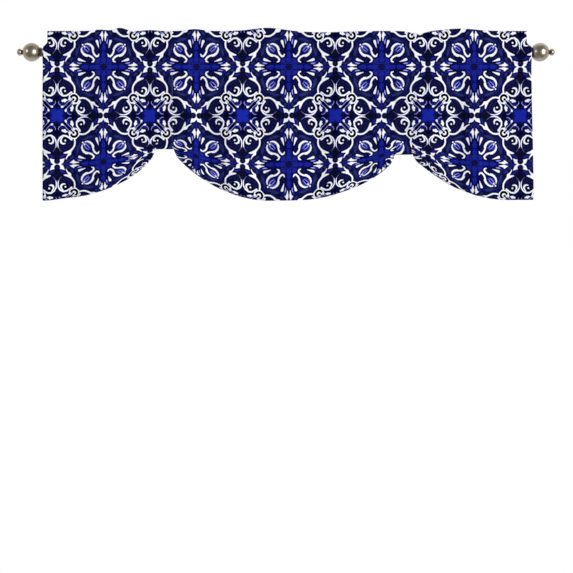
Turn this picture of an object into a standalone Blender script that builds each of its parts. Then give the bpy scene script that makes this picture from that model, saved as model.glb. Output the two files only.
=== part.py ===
"""Tie-up valance on its rod: a flat printed panel whose lower edge is turned under and held up by two ties.

X runs along the rod, Z is up and -Y is the side that shows. The origin is on the rod's axis, halfway along it.
"""

import math
from bisect import bisect_left

import bmesh
import bpy

# Rod and finials
ROD_RADIUS = 0.0095
ROD_HALF_LENGTH = 0.6580
SEAT_GAP = 0.0003          # between faces that touch
STUD_RADIUS = 0.0040
STUD_LENGTH = 0.0160
STUD_CLEARANCE = 0.0004
BALL_RADIUS = 0.0250
BALL_CENTRE = 0.0285       # from the rod's end face, along its axis
COLLAR_RADIUS = 0.0120
RING_RADIUS = 0.0126
NECK_RADIUS = 0.0058
TIP_RADIUS = 0.0095
TIP_HALF_LENGTH = 0.0078
TIP_CENTRE = 0.0607
TURNED_SIDES = 24
STUD_BEVEL = 0.0006
COLLAR_BEVEL = 0.0005
COLLAR_GROOVE = (0.0022, 0.0028, 0.0034, 0.0041)    # along the axis: its near edge, floor, floor and far edge
GROOVE_DEPTH = 0.0014
RING_END = 0.0058
BALL_MEETS_RING = 0.0006   # the ball starts this far inside the ring's edge
BALL_STEPS = 12
TIP_STEPS = 7
SHARP_ANGLE = 35           # degrees

# Cloth
CLOTH = 0.0012             # thickness of the panel and of the ties
CLOTH_GAP = 0.0004         # between two layers that lie on each other
PANEL_LEFT = -0.6560
PANEL_RIGHT = 0.6625
PANEL_FLARE = 0.0063       # how far the right side swings out at the bottom
HEADER_INSET = 0.0120      # the header is this much shorter than the pocket at each end
INSET_START = 0.012
INSET_END = 0.027
PANEL_DROP = 0.4015        # from the rod's axis to the untied lower edge
COLUMN_PITCH = 0.026
COLUMN_BESIDE_TIE = 0.3    # of the pitch, from a tie's side to the next column
COLUMN_LEAST = 0.4         # of the pitch, between an even column and a fixed one
POCKET_RADIUS = 0.0107     # middle of the cloth where it lies round the rod
MOUTH_RADIUS = 0.0152      # the same at the right end, where the pocket opens over the collar
MOUTH_START = 0.620
MOUTH_END = 0.655
POCKET_DEPTH = 0.032       # from the rod's axis down to the pocket's seam
SEAM_OVER_ROD = 0.0011
POCKET_STEPS = 3
POCKET_BACK_SHARES = (1.0, 0.65, 0.28)              # of the pocket's depth, from its seam up
HEADER_HALF_GAP = 0.0010   # half the distance between the header's two layers
CREST_SHARE = 0.7          # of that, where the header's fold rounds over
HANG_PLANE = -0.0045       # where the face hangs, under the rod
HANG_START = 0.045
FOLDS_START = 0.100
FACE_SHARES = (0.12, 0.30, 0.48, 0.66, 0.84, 1.0)   # rows, from the ties' upper ends down to the turned edge
FIRST_ROW_SHARE = 0.4      # the row above them, as a share of the ties' start

# Lower edge: it turns under fully once this much cloth is drawn up
HEM_LEAST = 0.012
HEM_FULL_TURN = 0.045
HEM_ARC_SHARE = 0.62
HEM_LEAST_ANGLE = 0.02
HEM_STEPS = 5
FLAP_SHARES = (0.5, 1.0)
CORNER_DIP = 0.0090
CORNER_DIP_WIDTH = 0.070

# Ties: middle, width, and the lowest point of each, as a distance below the rod's axis
TIES = {
    "tie_left": {"middle": -0.3283, "width": 0.0446, "drop": 0.2615},
    "tie_right": {"middle": 0.3187, "width": 0.0424, "drop": 0.2764},
}
TIE_TOP = 0.030
TIE_BACK_TOP = 0.040
TIE_CLEARS_HEM = 0.006     # a tie goes straight up this far past the drawn-up hem before it leans to the face
TIE_MARGIN = 0.002         # the lower edge stays level this far past a tie's sides

# Lower edge beside the ties: which way it runs, how far it curves, its lowest drop, how sharply it starts, and how
# far the drawn-up cloth bulges down just beside the tie
SWEEPS = [
    {"tie": "tie_left", "way": -1, "reach": 0.270, "drop": 0.3930, "power": 0.68, "bulge": 0.004},
    {"tie": "tie_left", "way": 1, "reach": 0.270, "drop": PANEL_DROP, "power": 0.80, "bulge": 0.008},
    {"tie": "tie_right", "way": -1, "reach": 0.300, "drop": PANEL_DROP, "power": 0.71, "bulge": 0.008},
    {"tie": "tie_right", "way": 1, "reach": 0.260, "drop": 0.3985, "power": 0.86, "bulge": 0.008},
]
BULGE_RUN = 0.012

# Header's top edge: waves on its mean height
HEADER_HEIGHT = 0.057
HEADER_WAVES = [
    {"place": -0.502, "rise": 0.004, "half": 0.022, "lean": 0.002},
    {"place": -0.448, "rise": 0.008, "half": 0.020, "lean": -0.003},
    {"place": -0.367, "rise": 0.003, "half": 0.020, "lean": 0.003},
    {"place": -0.245, "rise": 0.0045, "half": 0.027, "lean": -0.003},
    {"place": -0.049, "rise": 0.008, "half": 0.055, "lean": -0.003},
    {"place": 0.099, "rise": -0.003, "half": 0.080, "lean": 0.003},
    {"place": 0.357, "rise": -0.007, "half": 0.028, "lean": 0.004},
    {"place": 0.471, "rise": 0.006, "half": 0.055, "lean": -0.003},
]

# Soft upright folds of the face: depth is towards the room, half is the half-width, slant is sideways per metre down
FOLDS = [
    {"place": -0.622, "depth": 0.005, "half": 0.030, "slant": 0.02},
    {"place": -0.521, "depth": -0.006, "half": 0.034, "slant": 0.20},
    {"place": -0.462, "depth": 0.005, "half": 0.040, "slant": 0.05},
    {"place": -0.302, "depth": 0.006, "half": 0.026, "slant": -0.22},
    {"place": -0.255, "depth": -0.006, "half": 0.028, "slant": -0.20},
    {"place": -0.155, "depth": 0.006, "half": 0.036, "slant": -0.05},
    {"place": -0.070, "depth": -0.005, "half": 0.034, "slant": 0.00},
    {"place": 0.014, "depth": 0.006, "half": 0.036, "slant": -0.02},
    {"place": 0.090, "depth": -0.004, "half": 0.030, "slant": 0.03},
    {"place": 0.150, "depth": 0.006, "half": 0.030, "slant": 0.02},
    {"place": 0.224, "depth": -0.004, "half": 0.028, "slant": 0.04},
    {"place": 0.404, "depth": 0.007, "half": 0.044, "slant": 0.06},
    {"place": 0.468, "depth": -0.005, "half": 0.028, "slant": 0.03},
    {"place": 0.522, "depth": 0.006, "half": 0.036, "slant": 0.00},
    {"place": 0.610, "depth": -0.004, "half": 0.028, "slant": 0.00},
]

PRINT_BLUE = (0.020, 0.026, 0.180, 1.0)
PEWTER = (0.36, 0.33, 0.28, 1.0)


def smooth(value):
    """0 to 1 with level ends."""
    t = min(1.0, max(0.0, value))
    return t * t * (3.0 - 2.0 * t)


def blend(low, high, share):
    return low + (high - low) * share


def bump(x, row):
    return math.exp(-(((x - row["place"]) / row["half"]) ** 2))


def tie_side(tie, way, margin=0.0):
    return TIES[tie]["middle"] + way * (TIES[tie]["width"] / 2 + margin)


def tie_panel_drop(tie):
    """The panel's lowest point inside a tie, which lies under it."""
    return TIES[tie]["drop"] - CLOTH - CLOTH_GAP


def drop_at(x):
    """How far below the rod's axis the lower edge is at x."""
    for tie in TIES:
        if tie_side(tie, -1, TIE_MARGIN) <= x <= tie_side(tie, 1, TIE_MARGIN):
            return tie_panel_drop(tie)
    drops = []
    for sweep in SWEEPS:
        along = (x - tie_side(sweep["tie"], sweep["way"], TIE_MARGIN)) * sweep["way"]
        if along >= 0.0:
            start = tie_panel_drop(sweep["tie"]) + sweep["bulge"] * smooth(along / BULGE_RUN)
            share = math.sin(math.pi / 2 * min(1.0, along / sweep["reach"]) ** sweep["power"])
            drops.append(blend(start, sweep["drop"], share))
    dip = CORNER_DIP * smooth(1.0 - (x - PANEL_LEFT) / CORNER_DIP_WIDTH)
    return min(PANEL_DROP, min(drops) + dip)


def hem_turn(surplus):
    """Angle, arc length and radius of the turned-under edge for the cloth that is drawn up."""
    share = smooth((surplus - HEM_LEAST) / (HEM_FULL_TURN - HEM_LEAST))
    angle = blend(HEM_LEAST_ANGLE, math.pi, share)
    arc = HEM_ARC_SHARE * min(surplus, HEM_FULL_TURN)
    return angle, arc, arc / angle


def lowest_point(surplus):
    """The lower edge's drop when this much cloth is drawn up."""
    angle, arc, radius = hem_turn(surplus)
    below = radius * math.sin(min(angle, math.pi / 2))
    if angle < math.pi / 2:
        below += (surplus - arc) * math.cos(angle)
    return PANEL_DROP - surplus + below


def surplus_for(drop):
    """The drawn-up cloth that brings the lower edge to a drop, by halving."""
    low, high = HEM_LEAST, PANEL_DROP / 2
    for _ in range(30):
        middle = (low + high) / 2
        if lowest_point(middle) > drop:
            low = middle
        else:
            high = middle
    return high


def pocket_radius(x):
    opening = smooth((x - MOUTH_START) / (MOUTH_END - MOUTH_START))
    return blend(POCKET_RADIUS, MOUTH_RADIUS, opening)


def face_depth(x, z):
    """Y of the face's middle at x and z, from the rod's front down."""
    hang = blend(-pocket_radius(x), HANG_PLANE, smooth(-z / HANG_START))
    relief = 0.0
    for fold in FOLDS:
        relief += fold["depth"] * bump(x - fold["slant"] * z, fold)
    return hang - relief * smooth(-z / FOLDS_START)


def header_at(x):
    """Height of the header's top edge at x, and how far it leans."""
    top = HEADER_HEIGHT
    lean = 0.0
    for wave in HEADER_WAVES:
        top += wave["rise"] * bump(x, wave)
        lean += wave["lean"] * bump(x, wave)
    return top, lean


def pocket_side(x, way):
    """Points of the pocket and header on one side (way 1 is the back), from the rod's axis up to the top fold."""
    radius = pocket_radius(x)
    seam_z = radius + SEAM_OVER_ROD
    seam_distance = math.hypot(HEADER_HALF_GAP, seam_z)
    leave = math.atan2(seam_z, HEADER_HALF_GAP) - math.acos(radius / seam_distance)
    turns = [leave * k / POCKET_STEPS for k in range(POCKET_STEPS + 1)]
    points = [(way * radius * math.cos(turn), radius * math.sin(turn)) for turn in turns]
    top, lean = header_at(x)
    points.append((way * HEADER_HALF_GAP, seam_z))
    for z in (INSET_END, top - HEADER_HALF_GAP):
        rise = (z - seam_z) / (top - seam_z)
        points.append((way * HEADER_HALF_GAP + lean * rise * rise, z))
    points.append((way * HEADER_HALF_GAP * CREST_SHARE + lean, top - HEADER_HALF_GAP * (1.0 - CREST_SHARE)))
    return points


def pocket_back(x):
    """The pocket's back layer, from its seam up to just under the rod's axis."""
    seam_y = face_depth(x, -POCKET_DEPTH) + CLOTH + CLOTH_GAP
    radius = pocket_radius(x)
    points = []
    for share in POCKET_BACK_SHARES:
        points.append((blend(seam_y, radius, smooth(1.0 - share)), -share * POCKET_DEPTH))
    return points


def face_and_hem(x):
    """The face from the rod's front down, its turned-under edge and the cloth that is drawn up behind it."""
    surplus = surplus_for(drop_at(x))
    angle, arc, radius = hem_turn(surplus)
    length = PANEL_DROP - surplus
    levels = [0.0, FIRST_ROW_SHARE * TIE_TOP, TIE_TOP]
    levels += [blend(TIE_TOP, length, share) for share in FACE_SHARES]
    points = [(face_depth(x, -level), -level) for level in levels]
    y, z = points[-1]
    for k in range(1, HEM_STEPS + 1):
        turn = angle * k / HEM_STEPS
        points.append((y + radius * (1.0 - math.cos(turn)), z - radius * math.sin(turn)))
    y, z = points[-1]
    flap = surplus - arc
    for share in FLAP_SHARES:
        points.append((y + share * flap * math.sin(angle), z - share * flap * math.cos(angle)))
    return points


def panel_profile(x):
    """All of the panel's points at x, from the pocket's seam at the back to the free edge of the turned-under hem."""
    back = pocket_side(x, 1)
    front = pocket_side(x, -1)
    top, lean = header_at(x)
    return pocket_back(x) + back + [(lean, top)] + front[:0:-1] + face_and_hem(x)


def side_at(x, z):
    """The panel's end columns follow its side edges: the header is shorter, and the right side swings out."""
    inset = HEADER_INSET * smooth((z - INSET_START) / (INSET_END - INSET_START))
    if x == PANEL_LEFT:
        return PANEL_LEFT + inset
    if x == PANEL_RIGHT:
        return PANEL_RIGHT - inset + PANEL_FLARE * smooth(-z / PANEL_DROP)
    return x


def panel_columns():
    """Even columns, with one at each side of a tie, at its middle, and just outside it."""
    fixed = [PANEL_LEFT, PANEL_RIGHT]
    for tie in TIES:
        middle = TIES[tie]["middle"]
        for way in (-1, 1):
            fixed += [tie_side(tie, way, TIE_MARGIN), tie_side(tie, way, COLUMN_BESIDE_TIE * COLUMN_PITCH)]
        fixed.append(middle)
    fixed.sort()
    count = round((PANEL_RIGHT - PANEL_LEFT) / COLUMN_PITCH)
    columns = list(fixed)
    for k in range(1, count):
        x = blend(PANEL_LEFT, PANEL_RIGHT, k / count)
        at = bisect_left(fixed, x)
        if min(x - fixed[at - 1], fixed[at] - x) > COLUMN_LEAST * COLUMN_PITCH:
            columns.append(x)
    return sorted(columns)


def outward(points, offset):
    """The points moved square to their line by an offset, to the side that faces out of the turned edge."""
    moved = []
    for k, (y, z) in enumerate(points):
        runs = []
        for first, second in ((k - 1, k), (k, k + 1)):
            if first >= 0 and second < len(points):
                run = (points[second][0] - points[first][0], points[second][1] - points[first][1])
                length = math.hypot(*run)
                runs.append((run[1] / length, -run[0] / length))
        normal_y = sum(run[0] for run in runs) / len(runs)
        normal_z = sum(run[1] for run in runs) / len(runs)
        scale = offset / (normal_y ** 2 + normal_z ** 2)
        moved.append((y + scale * normal_y, z + scale * normal_z))
    return moved


def tie_profile(tie, x):
    """A tie's points at x: down the face, under the turned edge and up the back to just under the pocket."""
    offset = CLOTH + CLOTH_GAP
    points = outward(face_and_hem(x)[2:], offset)
    y, z = points[-1]
    z += TIE_CLEARS_HEM
    points.append((y, z))
    for share in FLAP_SHARES:
        level = blend(z, -TIE_BACK_TOP, share)
        behind_face = face_depth(x, level) + offset
        points.append((blend(y, behind_face, smooth(share)), level))
    return points


def cloth_material(name):
    return finish(name, PRINT_BLUE, 0.75, 0.0)


def metal_material(name):
    return finish(name, PEWTER, 0.32, 1.0)


def finish(name, colour, roughness, metallic):
    material = bpy.data.materials.new(name)
    material.use_nodes = True
    shader = material.node_tree.nodes["Principled BSDF"]
    shader.inputs["Base Color"].default_value = colour
    shader.inputs["Roughness"].default_value = roughness
    shader.inputs["Metallic"].default_value = metallic
    return material


def add_object(name, bm, material):
    mesh = bpy.data.meshes.new(name)
    bm.to_mesh(mesh)
    bm.free()
    mesh.materials.append(material)
    mesh.shade_smooth()
    obj = bpy.data.objects.new(name, mesh)
    bpy.context.scene.collection.objects.link(obj)
    return obj


def sheet(name, columns, material):
    """A cloth sheet through columns of points, given its thickness to both sides of them."""
    bm = bmesh.new()
    grid = [[bm.verts.new(point) for point in column] for column in columns]
    for left, right in zip(grid, grid[1:]):
        for row in range(len(left) - 1):
            bm.faces.new((left[row], left[row + 1], right[row + 1], right[row]))
    obj = add_object(name, bm, material)
    solid = obj.modifiers.new("thickness", "SOLIDIFY")
    solid.thickness = CLOTH
    solid.offset = 0.0
    solid.use_even_offset = True
    return obj


def make_panel():
    columns = []
    for x in panel_columns():
        columns.append([(side_at(x, z), y, z) for y, z in panel_profile(x)])
    return sheet("panel", columns, cloth_material("printed_cloth"))


def make_tie(tie):
    columns = []
    for x in (tie_side(tie, -1), TIES[tie]["middle"], tie_side(tie, 1)):
        columns.append([(x, y, z) for y, z in tie_profile(tie, x)])
    return sheet(tie, columns, cloth_material(tie + "_cloth"))


def turned(name, profile, material):
    """A solid turned about the X axis from (x, radius) points that start and end on the axis."""
    bm = bmesh.new()
    rings = []
    for x, radius in profile:
        if radius == 0.0:
            rings.append([bm.verts.new((x, 0.0, 0.0))])
            continue
        angles = [2 * math.pi * k / TURNED_SIDES for k in range(TURNED_SIDES)]
        rings.append([bm.verts.new((x, radius * math.cos(a), radius * math.sin(a))) for a in angles])
    for first, second in zip(rings, rings[1:]):
        for k in range(TURNED_SIDES):
            corners = [first[k % len(first)], first[(k + 1) % len(first)]]
            corners += [second[(k + 1) % len(second)], second[k % len(second)]]
            bm.faces.new(list(dict.fromkeys(corners)))
    bmesh.ops.recalc_face_normals(bm, faces=bm.faces)
    obj = add_object(name, bm, material)
    obj.data.set_sharp_from_angle(angle=math.radians(SHARP_ANGLE))
    return obj


def make_rod():
    """A plain round bar with a blind hole for each finial's stud."""
    hole = STUD_RADIUS + STUD_CLEARANCE
    bottom = ROD_HALF_LENGTH - STUD_LENGTH - STUD_CLEARANCE
    end = ROD_HALF_LENGTH
    profile = [(-bottom, 0.0), (-bottom, hole), (-end, hole), (-end, ROD_RADIUS)]
    profile += [(end, ROD_RADIUS), (end, hole), (bottom, hole), (bottom, 0.0)]
    return turned("rod", profile, metal_material("rod_metal"))


def arc_points(centre, half_length, radius, first, last, count):
    """Points of an ellipse's outline between two angles, measured from the axis that points inwards."""
    points = []
    for k in range(count + 1):
        angle = blend(first, last, k / count)
        points.append((centre - half_length * math.cos(angle), radius * math.sin(angle)))
    return points


def make_finial(name, way):
    """A stud, a ringed collar, a ball, a neck and a small tip, turned in one piece; way is 1 at the right end."""
    profile = [(-STUD_LENGTH, 0.0), (-STUD_LENGTH, STUD_RADIUS - STUD_BEVEL)]
    profile += [(-STUD_LENGTH + STUD_BEVEL, STUD_RADIUS), (SEAT_GAP, STUD_RADIUS)]
    profile += [(SEAT_GAP, COLLAR_RADIUS - COLLAR_BEVEL), (SEAT_GAP + COLLAR_BEVEL, COLLAR_RADIUS)]
    floor = COLLAR_RADIUS - GROOVE_DEPTH
    profile += list(zip(COLLAR_GROOVE, (COLLAR_RADIUS, floor, floor, RING_RADIUS)))
    profile.append((RING_END, RING_RADIUS))
    ball_start = math.asin((RING_RADIUS - BALL_MEETS_RING) / BALL_RADIUS)
    ball_end = math.pi - math.asin(NECK_RADIUS / BALL_RADIUS)
    profile += arc_points(BALL_CENTRE, BALL_RADIUS, BALL_RADIUS, ball_start, ball_end, BALL_STEPS)
    tip_start = math.asin(NECK_RADIUS / TIP_RADIUS)
    profile += arc_points(TIP_CENTRE, TIP_HALF_LENGTH, TIP_RADIUS, tip_start, math.pi, TIP_STEPS)[:-1]
    profile.append((TIP_CENTRE + TIP_HALF_LENGTH, 0.0))
    placed = [(way * (ROD_HALF_LENGTH + x), radius) for x, radius in profile]
    return turned(name, placed, metal_material(name + "_metal"))


def main():
    for obj in list(bpy.data.objects):
        bpy.data.objects.remove(obj)
    make_panel()
    for tie in TIES:
        make_tie(tie)
    make_rod()
    make_finial("finial_left", -1)
    make_finial("finial_right", 1)


main()
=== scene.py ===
import math
from bisect import bisect_left

import bmesh
import bpy
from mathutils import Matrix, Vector, noise


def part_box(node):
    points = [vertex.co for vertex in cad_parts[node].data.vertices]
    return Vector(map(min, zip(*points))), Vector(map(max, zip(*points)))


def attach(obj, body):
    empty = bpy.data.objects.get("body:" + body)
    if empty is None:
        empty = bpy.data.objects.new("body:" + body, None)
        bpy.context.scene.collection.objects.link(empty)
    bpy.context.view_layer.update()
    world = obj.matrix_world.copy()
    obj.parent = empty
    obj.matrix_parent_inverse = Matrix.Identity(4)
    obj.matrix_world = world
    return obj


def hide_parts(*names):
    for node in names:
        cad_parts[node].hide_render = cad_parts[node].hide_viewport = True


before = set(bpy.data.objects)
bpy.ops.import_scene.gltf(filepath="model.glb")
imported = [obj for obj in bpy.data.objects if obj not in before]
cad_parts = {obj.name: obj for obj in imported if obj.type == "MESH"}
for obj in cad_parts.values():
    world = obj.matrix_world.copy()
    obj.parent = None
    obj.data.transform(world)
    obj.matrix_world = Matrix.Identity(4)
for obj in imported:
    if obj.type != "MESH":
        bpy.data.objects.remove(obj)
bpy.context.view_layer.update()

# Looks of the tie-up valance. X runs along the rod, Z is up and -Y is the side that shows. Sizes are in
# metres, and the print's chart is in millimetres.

# ---------------- sizes, as in the CAD but for the cloth's thickness and the ties' curl
ROD_HALF_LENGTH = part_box("rod")[1].x
CLOTH = 0.0007             # thickness of the panel and of the ties; the CAD's is 0.0012
CLOTH_STEP = 0.0016        # from the middle of the panel to the middle of a tie
PANEL_LEFT = -0.6560
PANEL_RIGHT = 0.6625
PANEL_FLARE = 0.0063       # how far the right side swings out at the bottom
HEADER_INSET = 0.0120      # the header is this much shorter than the pocket at each end
INSET_START = 0.012
INSET_END = 0.027
SIDE_BAND = 0.026          # width over which the inset and the flare fade out
PANEL_DROP = 0.4015        # from the rod's axis to the untied lower edge
POCKET_RADIUS = 0.0107     # middle of the cloth where it lies round the rod
MOUTH_RADIUS = 0.0152      # the same at the right end, where the pocket opens over the collar
MOUTH_START = 0.620
MOUTH_END = 0.655
POCKET_DEPTH = 0.032       # from the rod's axis down to the pocket's seam
SEAM_OVER_ROD = 0.0011
HEADER_HALF_GAP = 0.0010   # half the distance between the header's two layers
HANG_PLANE = -0.0045       # where the face hangs, under the rod
HANG_START = 0.045
FOLDS_START = 0.100

# Lower edge: it turns under fully once HEM_FULL_TURN of cloth is drawn up
HEM_LEAST = 0.012
HEM_FULL_TURN = 0.045
HEM_ARC_SHARE = 0.62
HEM_LEAST_ANGLE = 0.02
CORNER_DIP = 0.0090
CORNER_DIP_WIDTH = 0.070

# Ties: middle, width, the lowest point's distance below the rod's axis, and how far the two sides curl out
TIES = {
    "tie_left": {"middle": -0.3283, "width": 0.0446, "drop": 0.2615, "curl": (0.0006, 0.0040)},
    "tie_right": {"middle": 0.3187, "width": 0.0424, "drop": 0.2764, "curl": (0.0010, 0.0008)},
}
TIE_TOP = 0.030
TIE_BACK_TOP = 0.040
TIE_CLEARS_HEM = 0.006     # a tie goes straight up this far past the drawn-up hem before it leans to the face
TIE_MARGIN = 0.002         # the lower edge stays level this far past a tie's sides

# Lower edge beside a tie: which way it runs, how far it curves, its lowest drop, how sharply it starts, and
# how far the drawn-up cloth bulges down just beside the tie
SWEEPS = [
    ("tie_left", -1, 0.270, 0.3930, 0.68, 0.004),
    ("tie_left", 1, 0.270, PANEL_DROP, 0.80, 0.008),
    ("tie_right", -1, 0.300, PANEL_DROP, 0.71, 0.008),
    ("tie_right", 1, 0.260, 0.3985, 0.86, 0.008),
]
BULGE_RUN = 0.012

# Header's top edge: its mean height, and waves on it as place, half-width, rise and lean
HEADER_HEIGHT = 0.057
HEADER_WAVES = [
    (-0.502, 0.022, 0.004, 0.002),
    (-0.448, 0.020, 0.008, -0.003),
    (-0.367, 0.020, 0.003, 0.003),
    (-0.245, 0.027, 0.0045, -0.003),
    (-0.049, 0.055, 0.008, -0.003),
    (0.099, 0.080, -0.003, 0.003),
    (0.357, 0.028, -0.007, 0.004),
    (0.471, 0.055, 0.006, -0.003),
]

# Soft upright folds of the face: place, depth towards the room, half-width, and slant sideways per metre down
FOLDS = [
    (-0.622, 0.005, 0.030, 0.02),
    (-0.521, -0.006, 0.034, 0.20),
    (-0.462, 0.005, 0.040, 0.05),
    (-0.302, 0.006, 0.026, -0.22),
    (-0.255, -0.006, 0.028, -0.20),
    (-0.155, 0.006, 0.036, -0.05),
    (-0.070, -0.005, 0.034, 0.00),
    (0.014, 0.006, 0.036, -0.02),
    (0.090, -0.004, 0.030, 0.03),
    (0.150, 0.006, 0.030, 0.02),
    (0.224, -0.004, 0.028, 0.04),
    (0.404, 0.007, 0.044, 0.06),
    (0.468, -0.005, 0.028, 0.03),
    (0.522, 0.006, 0.036, 0.00),
    (0.610, -0.004, 0.028, 0.00),
]

# Finials, with centres measured along the axis from the rod's end face
BALL_RADIUS = 0.0250
BALL_CENTRE = 0.0285
COLLAR_RADIUS = 0.0120
RING_RADIUS = 0.0126
NECK_RADIUS = 0.0058
TIP_RADIUS = 0.0095
TIP_HALF_LENGTH = 0.0078
TIP_CENTRE = 0.0607

# ---------------- sizes of the finer shapes
# A finial's collar, as (distance from the rod's end face, radius), and its turning
COLLAR_PROFILE = [
    (0.0003, 0.0), (0.0003, COLLAR_RADIUS - 0.0005), (0.0005, COLLAR_RADIUS - 0.0001),
    (0.0008, COLLAR_RADIUS), (0.0020, COLLAR_RADIUS), (0.0024, COLLAR_RADIUS - 0.0004),
    (0.0027, COLLAR_RADIUS - 0.0014), (0.0034, COLLAR_RADIUS - 0.0014),
    (0.0037, RING_RADIUS - 0.0005), (0.0042, RING_RADIUS), (0.0057, RING_RADIUS),
]
BALL_MEETS_RING = 0.0008   # the ball starts this far inside the ring's edge
BALL_STEPS = 40
TIP_STEPS = 22
FINIAL_SIDES = 96
SHARP_ANGLE = 40           # degrees

# Steps of the cloth's grid
COLUMN_PITCH = 0.005
COLUMN_LEAST = 0.3         # of the pitch, between an even column and a fixed one
POCKET_STEPS = 7
HEADER_STEPS = 11
FACE_ROWS = 92
HEM_STEPS = 8
FLAP_STEPS = 9
TIE_COLUMNS = 14
TIE_ROWS = 70
TIE_BACK_STEPS = 12
CURL_POWER = 4             # how sharply a tie's curl rises towards its side
CURL_ENDS = 5              # it fades over one part in this many, at the top and at the turned edge

# Seams and hems: a dimple along the pocket's seam, a step where the side hems end, and the rows of stitches
SEAM_DIMPLE = 0.0008
SEAM_HALF = 0.0040
SIDE_HEM = 0.0110
SIDE_HEM_STEP = 0.0005
SIDE_HEM_RUN = 0.001       # width of the step
SIDE_HEM_COLUMNS = 0.0006  # from the middle of the step to the columns beside it
STITCH_PITCH = 0.0032
STITCH_SHARE = 0.8
STITCH_SHAPE = [(0.0, -1.0, 0.6), (0.2, 0.5, 1.0), (0.8, 0.5, 1.0), (1.0, -1.0, 0.6)]  # along, height, girth
THREAD_RADIUS = 0.00022
THREAD_SIDES = 5
SEAM_ENDS = 0.002          # the seams along the rod stop this far from the panel's sides
SIDE_SEAM = 0.0092         # from the side edge
SIDE_SEAM_TOP = -0.004
EDGE_SEAM = 0.0100         # from the lower free edge
BACK_SEAM_RISE = 0.002     # of the pocket's seam, on its back layer

# Creases on the face: from one (x, z) to another, depth towards the room, and half-width
CREASES = [
    ((-0.360, -0.245), (-0.520, -0.150), 0.0030, 0.016),
    ((-0.362, -0.262), (-0.500, -0.330), -0.0022, 0.014),
    ((-0.300, -0.240), (-0.200, -0.120), 0.0026, 0.015),
    ((-0.297, -0.262), (-0.190, -0.320), 0.0024, 0.013),
    ((0.290, -0.262), (0.180, -0.160), 0.0026, 0.016),
    ((0.288, -0.280), (0.170, -0.330), -0.0022, 0.014),
    ((0.350, -0.262), (0.440, -0.310), -0.0030, 0.012),
    ((0.348, -0.240), (0.450, -0.120), 0.0026, 0.018),
]
CREASE_START_WIDTH = 0.6   # of the half-width, beside the tie
CREASE_SPREAD = 0.8        # of the half-width, gained on the way
CREASE_START_RUN = 0.03
CREASE_END_RUN = 0.05

FOLD_GAIN = 1.4            # the folds are this much deeper here than in the CAD

# Small unevenness, as (size, waves per metre along x, the same along z, seed)
FACE_RIPPLES = [(0.0016, 22, 7, 0.3), (0.0007, 55, 16, 4.1)]
PUCKER = 0.0012
PUCKER_RIPPLES = [(1.0, 62, 8, 7.7), (0.6, 140, 12, 2.2)]
PUFF = 0.9                 # how far the header's layers part, in half gaps
PUFF_RIPPLES = [(1.0, 30, 0, 3.3)]

# The print: a star in a frame of scrolls, repeated. The repeat mirrors about a star, about the point between
# four stars, and about the diagonal, so one eighth of it is charted.
MM = 1000.0                # millimetres in a metre
HALF_ROOT = 0.70711        # turns x + y and x - y into distances along and across the diagonal
STAR_X = 0.0083
STAR_Z = -0.0403
REPEAT_X = 0.250
REPEAT_Z = 0.264
GATHER_START = 0.223       # below this depth the cloth is drawn up to the ties
GATHER_MOST = 0.9          # of the depth below that, the most that is drawn in

# ---------------- the print's chart
# In millimetres from the star's centre: a stroke has (x, y, half-width) points, a disc (x, y, radius) and an
# oval (x, y, half-width, half-height). Each straight side is a pair of points with the shape on their right.
GROUND_DABS = [
    [(95, 9.6, 2.2), (101, 10.2, 2.4)],
    [(83.5, 21, 1.8), (88, 16.8, 2.4)],
    [(64.5, 52, 2.0), (70.5, 41, 3.4), (72.5, 30, 2.4)],
]
SEAT = [((112, 33), (128, 48)), ((117, 14), (112, 33)), ((130, 14), (117, 14))]

# Star: a cross of arms and leaves on a body that widens towards the diagonal, with a hub of discs on it
ARM = [(16, 0, 12), (44, 0, 9.5), (63, 0, 4.5), (72, 0, 1.0)]
BODY_RADIUS = 21.5
BODY_WIDENS = 0.32
LEAF = (29.5, 0, 10.0, 5.4)
LONG_LEAF = [((38, 3.4), (50, 6.6)), ((50, 6.6), (66, 0))]
LONG_LEAF_START = 41.2
HUB_EDGE = (0, 0, 8.2)
HUB_RING = (0, 0, 5.6)
HUB_DOT = (0, 0, 2.6)
TEARDROP = [(48.6, 13.3, 0.5), (58, 16.0, 2.4), (66.0, 18.6, 3.6)]
TIP_PETAL = [(67.2, 3.9, 1.0), (72.5, 3.9, 1.7), (78, 4.6, 3.0)]
TIP_FACET = [((74.9, 0), (81.2, 12)), ((81.2, 12), (93.8, 3.2)), ((93.6, 3.0), (81.6, 0))]
TIP_GAP = [(66, 0, 2.3), (72, 0, 1.5), (83, 0, 1.0)]
SIDE_LEAF_BLUE = [(66.5, 12.2, 1.2), (73, 12.6, 3.2), (79, 14.8, 1.5)]
SIDE_LEAF_LILAC = [(59.5, 8.9, 0.8), (64.4, 8.9, 1.8), (70.5, 10.2, 0.9)]

# Bud on the diagonal, its stripes bowed like an onion's round the bulge
BUD = [(26, 26, 1.0), (40, 40, 6), (46.5, 46.5, 11.6)]
BUD_EDGE = [
    (31.5, 12.2, 1.5), (27, 14.2, 2.1), (26, 18.8, 2.5), (31, 24.4, 2.6), (37.5, 27.6, 2.5), (42, 27.8, 3.1),
    (47.5, 28.8, 3.5), (53, 32, 3.2), (57.6, 37.5, 2.7), (59.6, 44, 2.2), (58.4, 50.5, 1.3),
]
BUD_SHADE = (50.0, 60.0)   # along the diagonal, from dark to light
BULGE_MIDDLE = 66.5
BULGE_HALF = 12
BULGE_LEAST = 0.02
STRIPE_HALF_PITCH = 3.6
STRIPE_HALF_WIDTH = 0.95
STRIPE_START = 55.0
BUD_VEIN = [(41.5, 41.5, 0.9), (48.5, 48.5, 1.2)]
BUD_SPOT = [(50.8, 50.8, 1.2), (53.6, 53.6, 1.3)]
BUD_HOOK = (40.6, 24.4, 1.9)
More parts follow.
